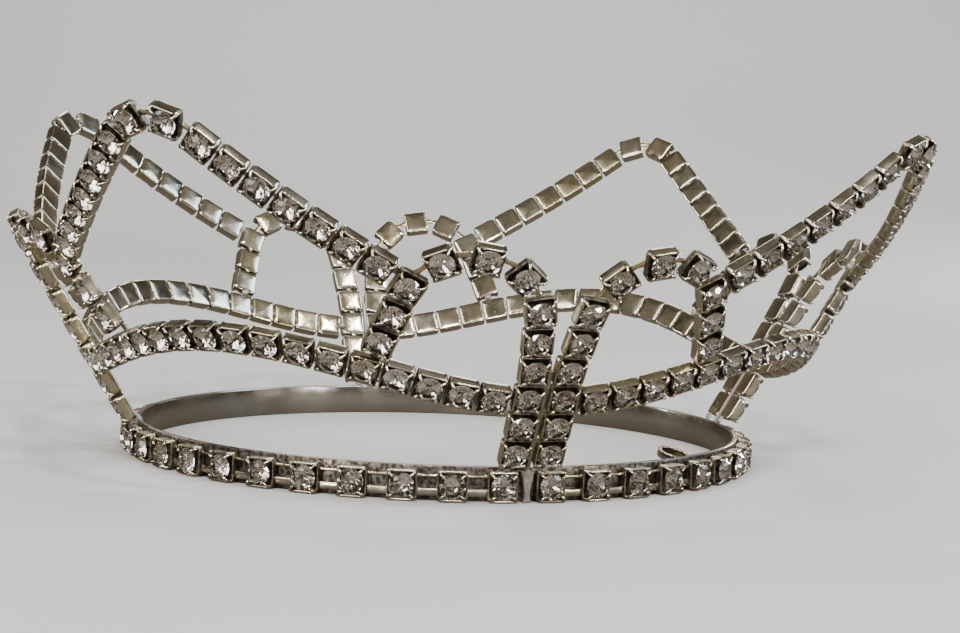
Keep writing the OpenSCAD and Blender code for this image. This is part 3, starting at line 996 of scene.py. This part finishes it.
for node in sorted(n for n in frame["nodes"] if n.endswith("_motif_spine") or n == "solder_beads"):
    settle(flowed(node), "solder", node)

# %% [markdown]
# ## Floor and light
#
# A pale floor curves up behind the crown into a plain wall. Polished metal and cut glass show
# mostly what stands around them, so the light is big soft panels for the metal's broad sheen and
# a few small bright ones for the stones' sparks.

# %% Floor that curves into a wall
def studio_sweep(depth=1.1, bend=0.5, width=6.0, height=3.0):
    profile = [(-2.0, 0.0), (depth - bend, 0.0)]
    turns = [math.pi / 2 * i / 16 for i in range(1, 17)]
    profile += [(depth - bend + bend * math.sin(a), bend - bend * math.cos(a)) for a in turns]
    profile.append((depth, height))
    points = [(x, y, z) for y, z in profile for x in (-width / 2, width / 2)]
    faces = [(2 * i, 2 * i + 1, 2 * i + 3, 2 * i + 2) for i in range(len(profile) - 1)]
    mesh = bpy.data.meshes.new("sweep")
    mesh.from_pydata(points, [], faces)
    mesh.shade_smooth()
    sweep = bpy.data.objects.new("studio_sweep", mesh)
    bpy.context.scene.collection.objects.link(sweep)
    return sweep


paper = bpy.data.materials.new("pale paper")
paper.use_nodes = True
paper_tree = paper.node_tree
mottle = add_node(paper_tree, "ShaderNodeTexNoise", Scale=14.0, Detail=5.0).outputs["Fac"]
paper_colour = blend_colours(paper_tree, mottle, (0.42, 0.418, 0.412, 1), (0.465, 0.462, 0.456, 1))
# In reflections and through glass the floor is painted dark: a painted reflection of a dark room, which
# metal and stones mirror in place of the pale floor.
paper_rays = add_node(paper_tree, "ShaderNodeLightPath")
painted_reflection_mask = arithmetic(
    paper_tree, "MAXIMUM", paper_rays.outputs["Is Glossy Ray"], paper_rays.outputs["Is Transmission Ray"]
)
paper_colour = blend_colours(paper_tree, painted_reflection_mask, paper_colour, (0.105, 0.09, 0.07, 1))
paper_shader = paper_tree.nodes["Principled BSDF"]
paper_shader.inputs["Roughness"].default_value = 0.8
paper_tree.links.new(paper_colour, paper_shader.inputs["Base Color"])

sweep = studio_sweep()
sweep.rotation_euler = (0, 0, math.radians(-16))
sweep.data.materials.append(paper)
sweep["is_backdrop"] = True
print("floor and wall in place")


# %% [markdown]
# Large panels stand where windows would: a warm one at the left, a cool one at the right and a
# third behind. The small panels are the ones that the stones flash back. The room itself is a
# dark warm gradient, broken up by soft noise, so that metal and glass have something to mirror.


# %% Lamps and surroundings
def panel(name, place, size, power, colour=(1, 1, 1), aim=(0, 0, 0.03)):
    lamp = bpy.data.lights.new(name, "AREA")
    lamp.shape = "RECTANGLE"
    lamp.size, lamp.size_y = size
    lamp.energy = power
    lamp.color = colour
    light = bpy.data.objects.new(name, lamp)
    light.location = place
    light.rotation_euler = (Vector(aim) - Vector(place)).to_track_quat("-Z", "Y").to_euler()
    bpy.context.scene.collection.objects.link(light)
    return light


panel("window left", (-0.75, -0.35, 0.55), (0.5, 0.6), 6.5, (1.0, 0.97, 0.92))
panel("window right", (0.9, -0.15, 0.50), (0.4, 0.6), 6.5, (0.64, 0.80, 1.0))
panel("window behind", (0.25, 0.85, 0.9), (0.7, 0.5), 7.5, (1.0, 0.99, 0.97))
for number, (x, y, z, width, power) in enumerate((
    (-0.30, -0.65, 0.30, 0.07, 2.4), (0.12, -0.75, 0.22, 0.06, 2.0), (0.45, -0.55, 0.12, 0.06, 2.0),
    (-0.10, -0.60, 0.55, 0.07, 2.4), (-0.6, -0.5, 0.08, 0.06, 1.8), (0.3, -0.4, 0.7, 0.07, 2.4),
    (0.6, 0.5, 0.15, 0.06, 1.8), (-0.6, 0.45, 0.2, 0.06, 1.8),
)):
    panel("spark %d" % number, (x, y, z), (width, width), power, (1.0, 0.97, 0.92))

world = bpy.data.worlds.new("room")
bpy.context.scene.world = world
world.use_nodes = True
room = world.node_tree
direction = add_node(room, "ShaderNodeTexCoord").outputs["Generated"]
upward = add_node(room, "ShaderNodeSeparateXYZ", Vector=direction).outputs["Z"]
tall = add_node(room, "ShaderNodeValToRGB", Fac=upward)
stops = (
    (0.0, (0.035, 0.026, 0.019, 1)),
    (0.35, (0.10, 0.082, 0.062, 1)),
    (0.72, (0.36, 0.32, 0.25, 1)),
    (1.0, (0.26, 0.24, 0.20, 1)),
)
while len(tall.color_ramp.elements) < len(stops):
    tall.color_ramp.elements.new(0.5)
for element, (position, colour) in zip(tall.color_ramp.elements, stops):
    element.position, element.color = position, colour
clutter = add_node(room, "ShaderNodeTexNoise", Vector=direction, Scale=2.6, Detail=4.0, Roughness=0.6)
busy = arithmetic(room, "MULTIPLY", ramp(room, clutter.outputs["Fac"], (0.36, 0.12), (0.66, 1.0)), 1.5)
furnished = add_node(
    room, "ShaderNodeVectorMath", {"operation": "SCALE"}, i0=tall.outputs["Color"], Scale=busy
)
seen_by = add_node(room, "ShaderNodeLightPath")
lit = blend_colours(room, seen_by.outputs["Is Diffuse Ray"], furnished.outputs[0], (0.62, 0.62, 0.615, 1))
room.links.new(lit, room.nodes["Background"].inputs["Color"])

# %% [markdown]
# ## The size of the pieces
#
# The box of the measured parts and the box of the detailed pieces are both printed before the
# lesson ends. The detailed pieces must stay inside the box of the measured parts.

seen_low, seen_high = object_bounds()
sizes = {"cad": [list(cad_low), list(cad_high)], "visual": [list(seen_low), list(seen_high)]}
in_mm = [[round(v * 1000, 2) for v in corner] for pair in sizes.values() for corner in pair]
print("box of the parts and of the pieces, mm:", in_mm)
